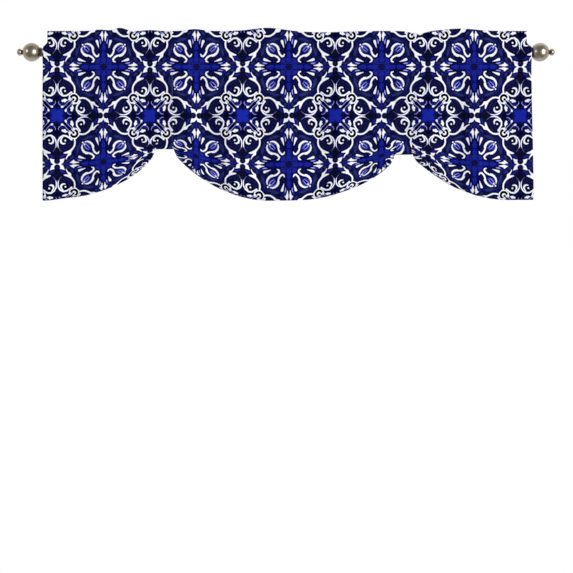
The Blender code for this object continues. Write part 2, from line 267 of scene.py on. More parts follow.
BUD_END = (57, 57, 2.4)

# Heart between the scrolls
HEART = [(100, 55, 20.5), (108, 37, 9.0)]
HEART_HOLLOW = (105.5, 62.2, 8.2)
HEART_OUTER = [
    (79.3, 65.5, 2.4), (78.3, 57.5, 2.3), (79.6, 49.5, 2.3), (84, 42.2, 2.4), (90.2, 35.5, 3.2),
    (98, 31.4, 3.3), (103.5, 29.9, 2.6), (107, 29.4, 1.5),
]
HEART_TINE = [(92, 32.5, 4.0), (92.8, 27.4, 4.0), (97, 22.8, 2.1), (100, 18.8, 1.6), (102.2, 13.8, 1.1)]
HEART_INNER = [
    (121.2, 43.0, 1.0), (122.7, 47.5, 1.4), (123.1, 54, 1.6), (122, 61.5, 1.8), (117.4, 69, 2.1),
    (109.8, 74.1, 2.3), (101, 73.6, 2.2), (93.6, 69.2, 2.1), (87.6, 64.8, 2.5),
]
HEART_FADE = [(113.8, 32.6, 0.4), (117.6, 37.2, 0.8), (121.2, 43.0, 1.1)]
HEART_DOT = (103.9, 61.8, 2.5)
CRESCENT = [
    (109.8, 70.8, 1.2), (113.8, 66, 1.8), (115.6, 60.6, 2.4), (113.8, 55.6, 2.6), (109.3, 53.2, 2.2),
    (104.3, 54.4, 1.3),
]
SMALL_LEAF = [(104.6, 23.6, 1.6), (109.6, 21.2, 3.2), (117, 17.2, 1.6)]

# Eye at the frame's corner: a lobed disc with an open ring and a bar towards the medallion
EYE = (80.7, 80.7, 14.6)
REVERSE_EYE = (80.3, 80.3, 14.4)   # as it shows on the back
LOBES_ROUND = 80.3
LOBES = 9.0
LOBE_DEPTH = 0.7
EYE_RING = (80.7, 80.7, 8.6)
EYE_RING_HALF = 3.1
EYE_OPENS = 118.8          # along the diagonal
PUPIL = (82.4, 82.4, 3.2)
EYE_BAR = [(84.5, 84.5, 1.4), (90, 90, 2.7), (99, 99, 3.3), (106, 106, 3.6)]

# Wings and wedge where two frames meet
WING = [((114.8, 0), (109.6, 3.4)), ((109.6, 3.4), (105.2, 15.8)), ((105.2, 15.8), (117.4, 12.6))]
WING_BITE = (125, 8.2, 7.6)
WING_DOT = (125, 9.4, 2.6)
WEDGE = [(82.4, 0, 0.2), (88, 0, 2.4), (94, 0, 3.5), (106, 0, 2.8), (113.4, 0, 0.8)]

# Medallion between four frames
GAP = [(125, 80, 7.0), (125, 98, 5.0)]
MOON = (110.4, 94.4, 8.4, 3.8)
PETAL = [(98.5, 84.8, 1.4), (104, 85, 3.4), (110.4, 87.2, 3.0)]
PETAL_BACK = [(104, 85, 3.2), (104.6, 88.6, 2.5)]
PETAL_TIP = [(105.4, 100.6, 1.2), (112, 102.5, 3.0)]
PETAL_LINE = [(91.5, 84.6, 1.2), (97.4, 91, 0.7), (103.6, 97.8, 0.7), (107.5, 101.2, 1.0)]
MEDALLION_START = (107.6, 106.8)
MEDALLION_NOTCH = [(125, 105, 2.6), (125, 113.5, 0.4)]
MEDALLION_CURL = [(120.6, 88.4, 0.6), (121.2, 92.6, 0.8), (118, 97.2, 0.8), (114, 99.4, 0.5)]

# Grain of the materials, in waves per metre, and its height
WEAVE_SCALE = 320.0
WEAVE_HEIGHT = 0.0003
SLUB_SCALE = 900.0
BRUSHING_SCALE = 2600.0
BRUSHING_HEIGHT = 0.0002
TARNISH_SCALE = 90.0
PLY_SCALE = 1500.0

# Painted shade on a finial's collar and neck, along the axis from the rod's end face
COLLAR_START = (0.0, 0.001)
COLLAR_END = (0.012, 0.006)
NECK_MIDDLE = 0.0535
NECK_HALF = 0.0022

# ---------------- the studio and the camera
# The light by the share of +Y in a direction: the studio is darker behind the camera
SKY_SPAN = (-0.5, 0.3)
SKY_LEVELS = (0.22, 1.0)
FLOOR_LEVEL = -5.0
FLOOR_HALF = 30.0
FLOOR_FADE = (0.6, 3.0)    # from its middle, where the floor turns into the studio's light
LIGHT_AIM = (0, 0, -0.15)
LIGHTS = [
    {"name": "key", "place": (8.8, -10.8, -0.1), "size": (6.4, 9.6), "power": 1700},
    {"name": "side", "place": (-4.4, -3.0, 0.7), "size": (1.0, 1.6), "power": 36},
]
CAMERA_DISTANCE = 4.0
CAMERA_PLACE = (0.0018, -0.633)   # x and z
SENSOR_WIDTH = 36.0        # mm
VIEW_WIDTH = 1.548         # at the rod


def smooth(value):
    """0 to 1 with level ends."""
    t = min(1.0, max(0.0, value))
    return t * t * (3.0 - 2.0 * t)


def blend(low, high, share):
    return low + (high - low) * share


def bump(x, place, half):
    return math.exp(-(((x - place) / half) ** 2))


def linear(red, green, blue):
    """A colour given from 0 to 255, as it looks, in linear light."""
    parts = []
    for value in (red, green, blue):
        share = value / 255
        parts.append(share / 12.92 if share <= 0.04045 else ((share + 0.055) / 1.055) ** 2.4)
    return (*parts, 1.0)


# Palette, as seen
BLACK = linear(0, 0, 20)
GROUND_DARK = linear(7, 8, 44)
GROUND_BLUE = linear(24, 32, 104)
DAB = linear(46, 52, 120)
HEART_DARK = linear(8, 8, 46)
HEART_LIGHT = linear(30, 33, 94)
SEAT_DARK = linear(6, 7, 36)
SEAT_LIGHT = linear(22, 26, 66)
STAR_BLUE = linear(24, 35, 148)
ARM_BLUE = linear(12, 16, 100)
PETAL_DARK = linear(17, 23, 118)
PETAL_LIGHT = linear(36, 45, 152)
LEAF_RIM = linear(4, 5, 66)
HUB_DARK = linear(6, 7, 56)
HUB_LIGHT = linear(24, 28, 74)
HUB_CENTRE = linear(8, 8, 36)
BUD_DARK = linear(10, 12, 92)
BUD_BLUE = linear(34, 40, 142)
SMALL_LEAF_BLUE = linear(30, 36, 138)
WING_DOT_GREY = linear(34, 34, 70)
WEDGE_RIM = linear(8, 10, 84)
WEDGE_BLUE = linear(24, 32, 134)
MEDALLION_RIM = linear(12, 18, 122)
MEDALLION_BLUE = linear(26, 40, 162)
NOTCH_BLUE = linear(8, 11, 76)
LEAF_BLUE = linear(18, 22, 132)
LILAC = linear(150, 155, 238)
WHITE_RIM = linear(112, 116, 198)
FADED = linear(112, 108, 152)
WHITE = linear(250, 251, 254)
WHITE_SHADE = linear(230, 231, 244)
REVERSE_LIGHT = linear(222, 224, 232)
REVERSE_GHOST = linear(126, 130, 178)
REVERSE_CLOUD = linear(140, 144, 188)
THREAD_DARK = linear(14, 16, 62)
THREAD_LIGHT = linear(40, 46, 110)
PEWTER_LIGHT = linear(184, 174, 157)
PEWTER_WORN = linear(146, 134, 117)
# The dark brown-grey of the painted shade at a finial's collar and neck
PAINTED_SHADE_TONE = linear(74, 66, 50)
FLOOR_TONES = [(level, level, level, 1.0) for level in (0.955, 0.975)]


# ---------------- the panel's shape
def tie_side(tie, way, margin=0.0):
    return TIES[tie]["middle"] + way * (TIES[tie]["width"] / 2 + margin)


def drop_at(x):
    """How far below the rod's axis the lower edge is at x."""
    for tie in TIES:
        if tie_side(tie, -1, TIE_MARGIN) <= x <= tie_side(tie, 1, TIE_MARGIN):
            return TIES[tie]["drop"] - CLOTH_STEP
    drops = []
    for tie, way, reach, lowest, power, bulge in SWEEPS:
        along = (x - tie_side(tie, way, TIE_MARGIN)) * way
        if along >= 0.0:
            start = TIES[tie]["drop"] - CLOTH_STEP + bulge * smooth(along / BULGE_RUN)
            share = math.sin(math.pi / 2 * min(1.0, along / reach) ** power)
            drops.append(blend(start, lowest, share))
    dip = CORNER_DIP * smooth(1.0 - (x - PANEL_LEFT) / CORNER_DIP_WIDTH)
    return min(PANEL_DROP, min(drops) + dip)


def hem_turn(surplus):
    """Angle, arc length and radius of the turned-under edge for the cloth that is drawn up."""
    share = smooth((surplus - HEM_LEAST) / (HEM_FULL_TURN - HEM_LEAST))
    angle = blend(HEM_LEAST_ANGLE, math.pi, share)
    arc = HEM_ARC_SHARE * min(surplus, HEM_FULL_TURN)
    return angle, arc, arc / angle


def lowest_point(surplus):
    """The lower edge's drop when this much cloth is drawn up."""
    angle, arc, radius = hem_turn(surplus)
    below = radius * math.sin(min(angle, math.pi / 2))
    if angle < math.pi / 2:
        below += (surplus - arc) * math.cos(angle)
    return PANEL_DROP - surplus + below


def surplus_for(drop):
    """The drawn-up cloth that brings the lower edge to a drop, by halving."""
    low, high = HEM_LEAST, PANEL_DROP / 2
    for _ in range(30):
        middle = (low + high) / 2
        if lowest_point(middle) > drop:
            low = middle
        else:
            high = middle
    return high


def pocket_radius(x):
    return blend(POCKET_RADIUS, MOUTH_RADIUS, smooth((x - MOUTH_START) / (MOUTH_END - MOUTH_START)))


def ripple(x, z, rows):
    return sum(size * noise.noise((x * along, z * up, seed)) for size, along, up, seed in rows)


def crease_at(x, z):
    """Depth of the listed creases, with soft ends."""
    total = 0.0
    for (ax, az), (bx, bz), depth, half in CREASES:
        length = math.hypot(bx - ax, bz - az)
        along = ((x - ax) * (bx - ax) + (z - az) * (bz - az)) / length
        across = ((x - ax) * (bz - az) - (z - az) * (bx - ax)) / length
        half *= CREASE_START_WIDTH + CREASE_SPREAD * min(1.0, max(0.0, along / length))
        ends = smooth(along / CREASE_START_RUN + 0.5) * smooth((length - along) / CREASE_END_RUN + 0.5)
        total += depth * ends * bump(across, 0.0, half)
    return total


def face_depth(x, z):
    """Y of the face's middle at x and z, from the rod's front down."""
    hang = blend(-pocket_radius(x), HANG_PLANE, smooth(-z / HANG_START))
    relief = 0.0
    for place, depth, half, slant in FOLDS:
        relief += FOLD_GAIN * depth * bump(x - slant * z, place, half)
    relief += ripple(x, z, FACE_RIPPLES) + crease_at(x, z)
    hem = smooth((SIDE_HEM - min(x - PANEL_LEFT, PANEL_RIGHT - x)) / SIDE_HEM_RUN + 0.5)
    dimple = SEAM_DIMPLE * math.exp(-(((z + POCKET_DEPTH) / SEAM_HALF) ** 2))
    return hang + dimple - SIDE_HEM_STEP * hem - relief * smooth(-z / FOLDS_START)


def header_at(x):
    """Height of the header's top edge at x, and how far it leans."""
    top = HEADER_HEIGHT
    lean = 0.0
    for place, half, rise, tilt in HEADER_WAVES:
        top += rise * bump(x, place, half)
        lean += tilt * bump(x, place, half)
    return top, lean


def pucker(x, z):
    """Small gathers of the header and of the cloth just under it."""
    return PUCKER * ripple(x, z, PUCKER_RIPPLES)


def steps(first, last, count):
    return [blend(first, last, k / count) for k in range(count + 1)]


def pocket_side(x, way):
    """(y, z) from the rod's axis up to the header's top on one side; way 1 is the back."""
    radius = pocket_radius(x)
    seam_z = radius + SEAM_OVER_ROD
    seam_distance = math.hypot(HEADER_HALF_GAP, seam_z)
    leave = math.atan2(seam_z, HEADER_HALF_GAP) - math.acos(radius / seam_distance)
    points = [(way * radius * math.cos(a), radius * math.sin(a)) for a in steps(0.0, leave, POCKET_STEPS)]
    top, lean = header_at(x)
    points.append((way * HEADER_HALF_GAP, seam_z))
    puff = PUFF * (0.5 + ripple(x, 0.0, PUFF_RIPPLES))
    for z in steps(seam_z, top - HEADER_HALF_GAP, HEADER_STEPS)[1:]:
        rise = (z - seam_z) / (top - seam_z)
        spread = HEADER_HALF_GAP * (1.0 + puff * math.sin(math.pi * rise))
        points.append((way * spread + lean * rise * rise + pucker(x, z) * smooth(3 * rise), z))
    return points


def pocket_back(x):
    """(y, z) of the pocket's back layer, from its seam up to just under the rod's axis."""
    seam_y = face_depth(x, -POCKET_DEPTH) + CLOTH_STEP
    radius = pocket_radius(x)
    rows = steps(-POCKET_DEPTH, 0.0, POCKET_STEPS)[:-1]
    return [(blend(seam_y, radius, smooth(1.0 + z / POCKET_DEPTH)), z) for z in rows]


def face_and_hem(x, start=0.0, rows=FACE_ROWS):
    """(y, z, printed depth) of the face, its turned edge and the cloth drawn up behind it."""
    drop = drop_at(x)
    surplus = surplus_for(drop)
    angle, arc, radius = hem_turn(surplus)
    length = PANEL_DROP - surplus
    points = []
    for level in steps(start, length, rows):
        points.append((face_depth(x, -level), -level, level))
    y, z, _ = points[-1]
    for k in range(1, HEM_STEPS + 1):
        turn = angle * k / HEM_STEPS
        depth = length + arc * k / HEM_STEPS
        points.append((y + radius * (1.0 - math.cos(turn)), z - radius * math.sin(turn), depth))
    y, z, _ = points[-1]
    flap = surplus - arc
    for share in steps(0.0, 1.0, FLAP_STEPS)[1:]:
        depth = length + arc + share * flap
        points.append((y + share * flap * math.sin(angle), z - share * flap * math.cos(angle), depth))
    return points


def gathered(depth, drop):
    """Depth on the flat print for a depth on the face: more cloth lies in the gathers near the lower edge."""
    if depth <= GATHER_START or drop <= GATHER_START:
        return depth
    share = min(1.0, (depth - GATHER_START) / (drop - GATHER_START))
    return depth + min(PANEL_DROP - drop, GATHER_MOST * (drop - GATHER_START)) * share ** 2


def panel_profile(x):
    """(y, z, printed height) from the pocket's seam at the back, over the top, to the hem's free edge."""
    back = pocket_back(x) + pocket_side(x, 1)
    front = pocket_side(x, -1)
    top, lean = header_at(x)
    crest = (lean + pucker(x, top), top)
    points = []
    above = 0.0
    last = crest
    for y, z in reversed(back):
        above += math.hypot(y - last[0], z - last[1])
        last = (y, z)
        points.insert(0, (y, z, top + above))
    points.append((*crest, top))
    points += [(y, z, z) for y, z in front[:0:-1]]
    drop = drop_at(x)
    points += [(y, z, -gathered(depth, drop)) for y, z, depth in face_and_hem(x)]
    return points


def side_shift(x, z):
    """The header is shorter than the pocket at each end, and the right side swings out at the bottom."""
    inset = HEADER_INSET * smooth((z - INSET_START) / (INSET_END - INSET_START))
    left = min(1.0, max(0.0, 1.0 - (x - PANEL_LEFT) / SIDE_BAND))
    right = min(1.0, max(0.0, 1.0 - (PANEL_RIGHT - x) / SIDE_BAND))
    return x + inset * left - inset * right + PANEL_FLARE * smooth(-z / PANEL_DROP) * right


def panel_columns():
    """Even columns, with one on each side of a side hem's step, and two just outside each side of a tie."""
    fixed = [PANEL_LEFT, PANEL_RIGHT]
    for aside in (-SIDE_HEM_COLUMNS, SIDE_HEM_COLUMNS):
        fixed += [PANEL_LEFT + SIDE_HEM + aside, PANEL_RIGHT - SIDE_HEM + aside]
    for tie in TIES:
        for way in (-1, 1):
            fixed += [tie_side(tie, way, TIE_MARGIN), tie_side(tie, way, 3 * TIE_MARGIN)]
    fixed.sort()
    count = round((PANEL_RIGHT - PANEL_LEFT) / COLUMN_PITCH)
    columns = list(fixed)
    for k in range(1, count):
        x = blend(PANEL_LEFT, PANEL_RIGHT, k / count)
        at = bisect_left(fixed, x)
        if min(x - fixed[at - 1], fixed[at] - x) > COLUMN_LEAST * COLUMN_PITCH:
            columns.append(x)
    return sorted(columns)


def outward(points, offset):
    """The (y, z, depth) points moved square to their line, to the printed side."""
    moved = []
    for k, (y, z, depth) in enumerate(points):
        before, after = points[max(k - 1, 0)], points[min(k + 1, len(points) - 1)]
        run = (after[0] - before[0], after[1] - before[1])
        length = math.hypot(*run)
        moved.append((y + offset * run[1] / length, z - offset * run[0] / length, depth))
    return moved


def tie_profile(x):
    """(y, z, printed height) down the face, under the turned edge and up the back to under the pocket."""
    points = outward(face_and_hem(x, TIE_TOP, TIE_ROWS), CLOTH_STEP)
    y, z, depth = points[-1]
    z += TIE_CLEARS_HEM
    depth += TIE_CLEARS_HEM
    points.append((y, z, depth))
    for share in steps(0.0, 1.0, TIE_BACK_STEPS)[1:]:
        level = blend(z, -TIE_BACK_TOP, share)
        behind = face_depth(x, level) + CLOTH_STEP
        points.append((blend(y, behind, smooth(share)), level, depth + level - z))
    return [(y, z, -depth) for y, z, depth in points]


# ---------------- making objects
def add_object(name, bm, *materials):
    mesh = bpy.data.meshes.new(name)
    bm.to_mesh(mesh)
    bm.free()
    for material in materials:
        mesh.materials.append(material)
    mesh.shade_smooth()
    obj = bpy.data.objects.new(name, mesh)
    bpy.context.scene.collection.objects.link(obj)
    return obj


def cloth_sheet(name, columns, printed, reverse):
    """A sheet through columns of (x, y, z, printed x, printed height), with its print on the outside."""
    bm = bmesh.new()
    chart = bm.loops.layers.uv.new("print")
    grid = []
    for column in columns:
        grid.append([(bm.verts.new(point[:3]), (point[3], point[4])) for point in column])
    for left, right in zip(grid, grid[1:]):
        for row in range(len(left) - 1):
            corners = (left[row], left[row + 1], right[row + 1], right[row])
            face = bm.faces.new([vert for vert, _ in corners])
            for loop, (_, place) in zip(face.loops, corners):
                loop[chart].uv = place
    obj = add_object(name, bm, printed, reverse)
    solid = obj.modifiers.new("thickness", "SOLIDIFY")
    solid.thickness = CLOTH
    solid.offset = 0.0
    solid.use_even_offset = True
    solid.material_offset = 1
    solid.material_offset_rim = 1
    return obj


def turned(name, profile, sides, material):
    """A solid turned about the X axis from (x, radius) points that start and end on the axis."""
    bm = bmesh.new()
    rings = []
    for x, radius in profile:
        if radius == 0.0:
            rings.append([bm.verts.new((x, 0.0, 0.0))])
            continue
        angles = [2 * math.pi * k / sides for k in range(sides)]
        rings.append([bm.verts.new((x, radius * math.cos(a), radius * math.sin(a))) for a in angles])
    for first, second in zip(rings, rings[1:]):
        for k in range(sides):
            corners = [first[k % len(first)], first[(k + 1) % len(first)]]
            corners += [second[(k + 1) % len(second)], second[k % len(second)]]
            bm.faces.new(list(dict.fromkeys(corners)))
    bmesh.ops.recalc_face_normals(bm, faces=bm.faces)
    obj = add_object(name, bm, material)
    obj.data.set_sharp_from_angle(angle=math.radians(SHARP_ANGLE))
    return obj


# ---------------- shader nodes
class Net:
    """Adds nodes to a material or a world, one call for each, and paints shapes over a colour."""

    def __init__(self, owner):
        owner.use_nodes = True
        self.owner = owner
        self.tree = owner.node_tree
        self.shader = self.tree.nodes.get("Principled BSDF")
        self.colour = None

    def put(self, socket, value):
        if isinstance(value, bpy.types.NodeSocket):
            self.tree.links.new(value, socket)
        else:
            socket.default_value = value

    def node(self, kind, *values, **settings):
        """A new node, with its first inputs filled in order."""
        made = self.tree.nodes.new(kind)
        for key, value in settings.items():
            setattr(made, key, value)
        for socket, value in zip(made.inputs, values):
            self.put(socket, value)
        return made

    def fill(self, node, **inputs):
        """Fills a node's inputs by name, with _ for a space, and gives its first output."""
        for name, value in inputs.items():
            self.put(node.inputs[name.replace("_", " ")], value)
        return node.outputs[0]

    def surface(self, **inputs):
        self.fill(self.shader, **inputs)
        return self.owner

    def math(self, operation, *values, clamp=False):
        return self.node("ShaderNodeMath", *values, operation=operation, use_clamp=clamp).outputs[0]

    def less(self, value, by):
        return self.math("SUBTRACT", value, by)

    def times(self, value, by):
        return self.math("MULTIPLY", value, by)

    def scaled(self, value, by, plus):
        return self.math("MULTIPLY_ADD", value, by, plus)

    def most(self, *values):
        return self.math("MAXIMUM", *values)

    def vec(self, operation, *values):
        made = self.node("ShaderNodeVectorMath", *values, operation=operation)
        return made.outputs["Value" if operation in ("DOT_PRODUCT", "LENGTH") else "Vector"]

    def join(self, x, y, z=0.0):
        return self.node("ShaderNodeCombineXYZ", x, y, z).outputs[0]

    def split(self, vector):
        return self.node("ShaderNodeSeparateXYZ", vector).outputs

    def mix(self, share, low, high):
        made = self.node("ShaderNodeMix", share, data_type="RGBA")
        self.put(made.inputs[6], low)
        self.put(made.inputs[7], high)
        return made.outputs[2]

    def noise(self, vector, scale, detail):
        return self.fill(self.node("ShaderNodeTexNoise"), Vector=vector, Scale=scale, Detail=detail)

    def relief(self, height, strength, distance):
        return self.fill(self.node("ShaderNodeBump"), Height=height, Strength=strength, Distance=distance)

    def band(self, value, low, high):
        """0 below low, 1 above high."""
        return self.node("ShaderNodeMapRange", value, low, high).outputs[0]

    def studio_level(self, share):
        """The studio's light where a direction has this share of +Y."""
        return self.node("ShaderNodeMapRange", share, *SKY_SPAN, *SKY_LEVELS).outputs[0]

    def cover(self, distance, soft=0.45):
        """1 inside a shape and 0 outside, from the distance to its edge."""
        return self.math("MULTIPLY_ADD", distance, -1.0 / soft, 0.5, clamp=True)

    def paint(self, distance, tint, soft=0.45, share=1.0, grown=0.0):
        """Lays a tint over the colour inside a shape, given by the distance to its edge."""
        if grown:
            distance = self.less(distance, grown)
        cover = self.cover(distance, soft)
        if share < 1.0:
            cover = self.times(cover, share)
        self.colour = self.mix(cover, self.colour, tint)

    def nearest(self, old, new):
        return new if old is None else self.math("MINIMUM", old, new)

    def length(self, x, y):
        return self.math("SQRT", self.scaled(y, y, self.times(x, x)))

    def disc(self, p, x, y, radius):
        reach = self.length(self.less(p[0], x), self.less(p[1], y))
        return self.less(reach, radius)

    def oval(self, p, x, y, half_x, half_y):
        across = self.scaled(p[0], 1 / half_x, -x / half_x)
        up = self.scaled(p[1], 1 / half_y, -y / half_y)
        least = min(half_x, half_y)
        return self.scaled(self.length(across, up), least, -least)

    def stroke(self, p, points, old=None):
        """Nearest distance to a stroke through (x, y, half-width) points, joined to an earlier distance."""
        for (ax, ay, ar), (bx, by, br) in zip(points, points[1:]):
            run = (bx - ax, by - ay)
            square = run[0] ** 2 + run[1] ** 2
            x = self.less(p[0], ax)
            y = self.less(p[1], ay)
            along = self.times(x, run[0] / square)
            share = self.math("MULTIPLY_ADD", y, run[1] / square, along, clamp=True)
            away_x = self.scaled(share, -run[0], x)
            away_y = self.scaled(share, -run[1], y)
            distance = self.scaled(share, ar - br, self.length(away_x, away_y))
            old = self.nearest(old, self.less(distance, ar))
        return old

    def strokes(self, p, rows, old=None):
        for points in rows:
            old = self.stroke(p, points, old)
        return old

    def inside(self, p, sides):
        """Distance to a shape with straight sides, each given as two points with it on their right."""
        deepest = None
        for (ax, ay), (bx, by) in sides:
            length = math.hypot(bx - ax, by - ay)
            normal = (-(by - ay) / length, (bx - ax) / length)
            reach = normal[0] * ax + normal[1] * ay
            distance = self.scaled(p[0], normal[0], -reach)
            distance = self.scaled(p[1], normal[1], distance)
            deepest = distance if deepest is None else self.most(deepest, distance)
        return deepest


def print_place(net):
    """The place on the charted eighth, and on the whole cloth."""
    chart = net.node("ShaderNodeUVMap", uv_map="print").outputs[0]
    place = net.split(chart)
    half = REPEAT_X / 2 * MM
    stretch = REPEAT_X / REPEAT_Z * MM
    across = net.scaled(place[0], MM, -STAR_X * MM)
    down = net.scaled(place[1], stretch, -STAR_Z * stretch)
    u = net.math("PINGPONG", across, half)
    v = net.math("PINGPONG", down, half)
    x = net.most(u, v)
    y = net.math("MINIMUM", u, v)
    return (x, y), net.join(across, down)


def paint_ground(net, p, s, t):
    """The brushed ground, the hearts' fill and the dark gap over a medallion."""
    brush = net.noise(net.join(net.times(s, 0.42), net.times(t, 0.07)), 1.0, 1.5)
    net.colour = net.mix(net.band(brush, 0.40, 0.66), GROUND_DARK, GROUND_BLUE)
    net.paint(net.strokes(p, GROUND_DABS), DAB, soft=3.0, share=0.8)
    heart = net.stroke(p, HEART)
    fill = net.mix(net.band(brush, 0.42, 0.68), HEART_DARK, HEART_LIGHT)
    net.paint(heart, fill)
    net.paint(net.disc(p, *HEART_HOLLOW), BLACK)
    seat = net.cover(net.inside(p, SEAT), 3.5)
    fill = net.mix(net.band(brush, 0.45, 0.7), SEAT_DARK, SEAT_LIGHT)
    net.colour = net.mix(seat, net.colour, fill)
    net.paint(net.stroke(p, GAP), BLACK, soft=5.0, share=0.85)


def paint_star(net, p):
    """The cross on its dark border: rayed body, leaves along the arms, and the hub."""
    x, y = p
    arm = net.stroke(p, ARM)
    net.paint(arm, BLACK, soft=1.0, grown=2.2)
    net.paint(arm, ARM_BLUE, soft=1.2)
    body = net.less(net.length(x, y), net.scaled(y, BODY_WIDENS, BODY_RADIUS))
    leaf = net.oval(p, *LEAF)
    long_leaf = net.inside(p, LONG_LEAF)
    long_leaf = net.most(long_leaf, net.less(LONG_LEAF_START, x))
    leaves = net.nearest(leaf, long_leaf)
    bearing = net.times(net.math("ARCTAN2", y, x), 4.0)
    rays = net.noise(net.join(bearing, net.times(x, 0.05)), 1.0, 2.0)
    petals = net.mix(net.band(rays, 0.42, 0.6), PETAL_DARK, PETAL_LIGHT)
    net.paint(leaves, LEAF_RIM, soft=0.9, grown=1.3)
    net.paint(body, petals, soft=1.5)
    net.paint(leaves, STAR_BLUE, soft=0.9)
    net.paint(net.disc(p, *HUB_EDGE), HUB_DARK, soft=1.5)
    net.paint(net.disc(p, *HUB_RING), HUB_LIGHT, soft=2.5)
    net.paint(net.disc(p, *HUB_DOT), HUB_CENTRE, soft=2.5)


def paint_leaves(net, p):
    """The medallion's side leaf, the star's and the heart's."""
    net.paint(net.oval(p, *MOON), LEAF_BLUE)
    net.paint(net.stroke(p, SIDE_LEAF_BLUE), STAR_BLUE)
    net.paint(net.stroke(p, SMALL_LEAF), SMALL_LEAF_BLUE, soft=2.0)


def white_shapes(net, p):
    """Distance to the nearest white shape, with its black border painted."""
    x, y = p
    white = net.strokes(p, [TEARDROP, BUD_EDGE])
    facet = net.inside(p, TIP_FACET)
    white = net.stroke(p, TIP_PETAL, white)
    white = net.nearest(white, facet)
    white = net.strokes(p, [HEART_OUTER, HEART_TINE, HEART_INNER, CRESCENT], white)
    for dot in (HEART_DOT, BUD_END):
        white = net.nearest(white, net.disc(p, *dot))
    bearing = net.math("ARCTAN2", net.less(x, LOBES_ROUND), net.less(y, LOBES_ROUND))
    lobes = net.math("COSINE", net.times(bearing, LOBES))
    white = net.nearest(white, net.scaled(lobes, -LOBE_DEPTH, net.disc(p, *EYE)))
    wing = net.inside(p, WING)
    bite = net.disc(p, *WING_BITE)
    wing = net.most(wing, net.times(bite, -1.0))
    white = net.nearest(white, wing)
    white = net.strokes(p, [PETAL, PETAL_BACK, PETAL_TIP], white)
    net.paint(white, BLACK, soft=1.4, share=0.95, grown=3.2)
    return white


def paint_bud(net, p, s, t):
    """A bud on the diagonal, with bowed stripes, a dark vein and a white spot."""
    bud = net.stroke(p, BUD)
    net.paint(bud, net.mix(net.band(s, *BUD_SHADE), BUD_DARK, BUD_BLUE))
    bulge = net.scaled(s, 1 / BULGE_HALF, -BULGE_MIDDLE / BULGE_HALF)
    bulge = net.scaled(bulge, net.times(bulge, -1.0), 1.0)
    bulge = net.math("SQRT", net.most(bulge, BULGE_LEAST))
    onion = net.math("ADD", net.math("DIVIDE", t, bulge), STRIPE_HALF_PITCH)
    stripe = net.less(net.math("PINGPONG", onion, STRIPE_HALF_PITCH), STRIPE_HALF_WIDTH)
    stripe = net.most(stripe, net.math("ADD", bud, 1.0))
    stripe = net.most(stripe, net.less(STRIPE_START, s))
    net.paint(stripe, LILAC, soft=0.9)
    net.paint(net.stroke(p, BUD_VEIN), BLACK)
    net.paint(net.stroke(p, BUD_SPOT), WHITE)


def paint_medallion(net, p):
    x, y = p
    across, up = MEDALLION_START
    core = net.most(net.less(across, x), net.less(up, y))
    net.paint(core, MEDALLION_RIM, soft=1.5)
    net.paint(core, MEDALLION_BLUE, soft=4.0, grown=-3.0)
    net.paint(net.stroke(p, MEDALLION_NOTCH), NOTCH_BLUE, soft=2.5)


def paint_whites(net, white, whole):
    shade = net.mix(net.band(net.noise(whole, 0.16, 2.0), 0.45, 0.75), WHITE, WHITE_SHADE)
    net.paint(white, WHITE_RIM, soft=0.8, grown=0.3)
    net.paint(white, shade, grown=-0.3)


def paint_eye(net, p, s):
    """The eye's open ring, shaded where it opens, its pupil and its bar, and the hook of the bud's edge."""
    open_side = net.less(s, EYE_OPENS)
    ring = net.less(net.math("ABSOLUTE", net.disc(p, *EYE_RING)), EYE_RING_HALF)
    shaded = net.most(ring, net.times(open_side, -1.0))
    net.paint(shaded, LILAC, soft=2.0, share=0.3)
    dark = net.most(ring, open_side)
    for dot in (PUPIL, BUD_HOOK):
        dark = net.nearest(dark, net.disc(p, *dot))
    net.paint(net.stroke(p, EYE_BAR, dark), BLACK)


def paint_wedge(net, p):
    net.paint(net.disc(p, *WING_DOT), WING_DOT_GREY, soft=3.0)
    wedge = net.stroke(p, WEDGE)
    net.paint(wedge, WEDGE_RIM, soft=1.2, grown=0.6)
    net.paint(wedge, WEDGE_BLUE, soft=1.6, grown=-1.0)
    net.paint(net.stroke(p, TIP_GAP), BLACK, soft=1.0)


def print_colour(net):
    """The print's colour, from the ground up."""
    p, whole = print_place(net)
    x, y = p
    s = net.times(net.math("ADD", x, y), HALF_ROOT)
    t = net.times(net.less(x, y), HALF_ROOT)
    paint_ground(net, p, s, t)
    paint_star(net, p)
    paint_leaves(net, p)
    white = white_shapes(net, p)
    paint_bud(net, p, s, t)
    paint_medallion(net, p)
    paint_whites(net, white, whole)
    paint_eye(net, p, s)
    paint_wedge(net, p)
    net.paint(net.stroke(p, HEART_FADE), FADED, share=0.75)
    net.paint(net.strokes(p, [SIDE_LEAF_LILAC, MEDALLION_CURL, PETAL_LINE]), LILAC)
    return net.colour


def weave(net):
    """Fine plain weave as a bump on the cloth's own chart."""
    chart = net.node("ShaderNodeUVMap", uv_map="print").outputs[0]
    warp = net.node("ShaderNodeTexWave", wave_type="BANDS", bands_direction="X")
    weft = net.node("ShaderNodeTexWave", wave_type="BANDS", bands_direction="Y")
    for wave in (warp, weft):
        net.fill(wave, Vector=chart, Scale=WEAVE_SCALE, Distortion=0.6, Detail=1.0)
    threads = net.times(warp.outputs["Fac"], weft.outputs["Fac"])
    slubs = net.noise(chart, SLUB_SCALE, 2.0)
    return net.relief(net.scaled(slubs, 0.6, threads), 0.25, WEAVE_HEIGHT)


def printed_cloth():
    net = Net(bpy.data.materials.new("printed_cloth"))
    colour = print_colour(net)
    return net.surface(Base_Color=colour, Normal=weave(net), Roughness=0.46, Specular_IOR_Level=0.004)


